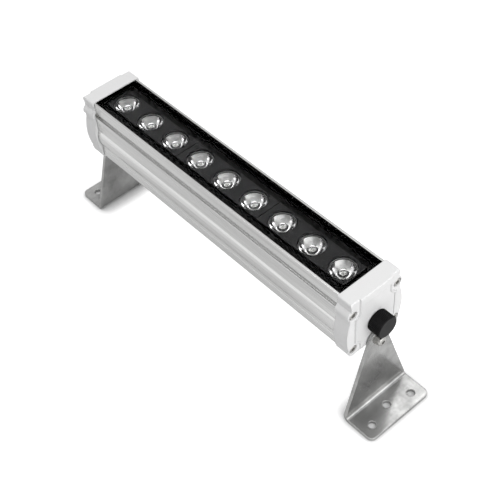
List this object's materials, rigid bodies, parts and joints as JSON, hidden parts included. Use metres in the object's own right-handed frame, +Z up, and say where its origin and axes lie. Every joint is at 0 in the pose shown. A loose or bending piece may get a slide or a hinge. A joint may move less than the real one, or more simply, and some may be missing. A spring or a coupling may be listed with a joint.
{
  "type": "wall washer light",
  "caption": "Linear outdoor wall washer light: aluminium profile with a row of lenses under glass, cast end caps, tilting steel feet, a cable gland and a capped link socket.",
  "frame": {"origin": "on the mounting surface, midway between the two feet, under the light's middle", "axes": "+X along the light towards the end with the link socket, +Y across it, +Z up, square to the mounting surface"},
  "size_m": [0.395, 0.067, 0.1352],
  "materials": {
    "profile_aluminium": "satin anodised, fine lines along the length",
    "cover_glass": "clear tempered",
    "black_silicone": "matt",
    "black_trim": "matt",
    "holder_grey": "satin",
    "lens_clear": "clear",
    "board_white": "matt",
    "led_yellow": "gloss",
    "steel_screws": "satin",
    "board_green": "satin",
    "driver_grey": "satin",
    "wire_red": "satin",
    "cap_white": "fine powder coat",
    "gasket_grey": "matt",
    "bracket_steel": "satin",
    "washer_nylon": "matt",
    "black_plastic": "satin",
    "pin_brass": "bright"
  },
  "bodies": {
    "bracket_near": {"bracket_near": "bracket_steel"},
    "light_head": {"housing_profile": "profile_aluminium", "cover_glass": "cover_glass", "glass_seal": "black_silicone", "socket_seal": "black_silicone", "gland_seal": "black_silicone", "gland_bush": "black_silicone", "trim_plate": "black_trim", "lens_holder_1": "holder_grey", "lens_holder_2": "holder_grey", "lens_holder_3": "holder_grey", "lens_1": "lens_clear", "lens_2": "lens_clear", "lens_3": "lens_clear", "lens_4": "lens_clear", "lens_5": "lens_clear", "lens_6": "lens_clear", "lens_7": "lens_clear", "lens_8": "lens_clear", "lens_9": "lens_clear", "led_board": "board_white", "led_emitters": "led_yellow", "board_screws": "steel_screws", "cap_screws_near": "steel_screws", "cap_screws_far": "steel_screws", "pivot_screw_near": "steel_screws", "pivot_screw_far": "steel_screws", "flat_washer_near": "steel_screws", "flat_washer_far": "steel_screws", "spring_washer_near": "steel_screws", "spring_washer_far": "steel_screws", "driver_board": "board_green", "driver_components": "driver_grey", "led_leads": "wire_red", "link_leads": "wire_red", "end_cap_near": "cap_white", "end_cap_far": "cap_white", "gasket_near": "gasket_grey", "gasket_far": "gasket_grey", "friction_washer_near": "washer_nylon", "friction_washer_far": "washer_nylon", "link_socket": "black_plastic", "socket_locknut": "black_plastic", "gland_body": "black_plastic", "gland_nut": "black_plastic", "gland_locknut": "black_plastic", "socket_pins": "pin_brass"},
    "bracket_far": {"bracket_far": "bracket_steel"},
    "cap_seal": {"screw_cap_seal": "black_silicone"},
    "screw_cap": {"screw_cap": "black_plastic"}
  },
  "joints": [
    {"name": "tilt", "type": "hinge", "parent": "bracket_near", "child": "light_head", "pos_m": [0, 0, 0.079], "axis": [1, 0, 0], "range_deg": [-90, 90]},
    {"name": "far_bracket_pivot", "type": "hinge", "parent": "light_head", "child": "bracket_far", "pos_m": [0, 0, 0.079], "axis": [1, 0, 0], "range_deg": [-90, 90]},
    {"name": "cap_travel", "type": "slide", "parent": "light_head", "child": "cap_seal", "axis": [1, 0, 0], "range_m": [0, 0.0075]},
    {"name": "cap_turn", "type": "hinge", "parent": "cap_seal", "child": "screw_cap", "pos_m": [0.17, 0, 0.1003], "axis": [1, 0, 0], "range_deg": [0, 1800]}
  ],
  "couplings": [
    {"joint": "far_bracket_pivot", "follows": "tilt", "ratio": -1},
    {"joint": "cap_travel", "follows": "cap_turn", "m_per_rad": 0.00023873}
  ]
}
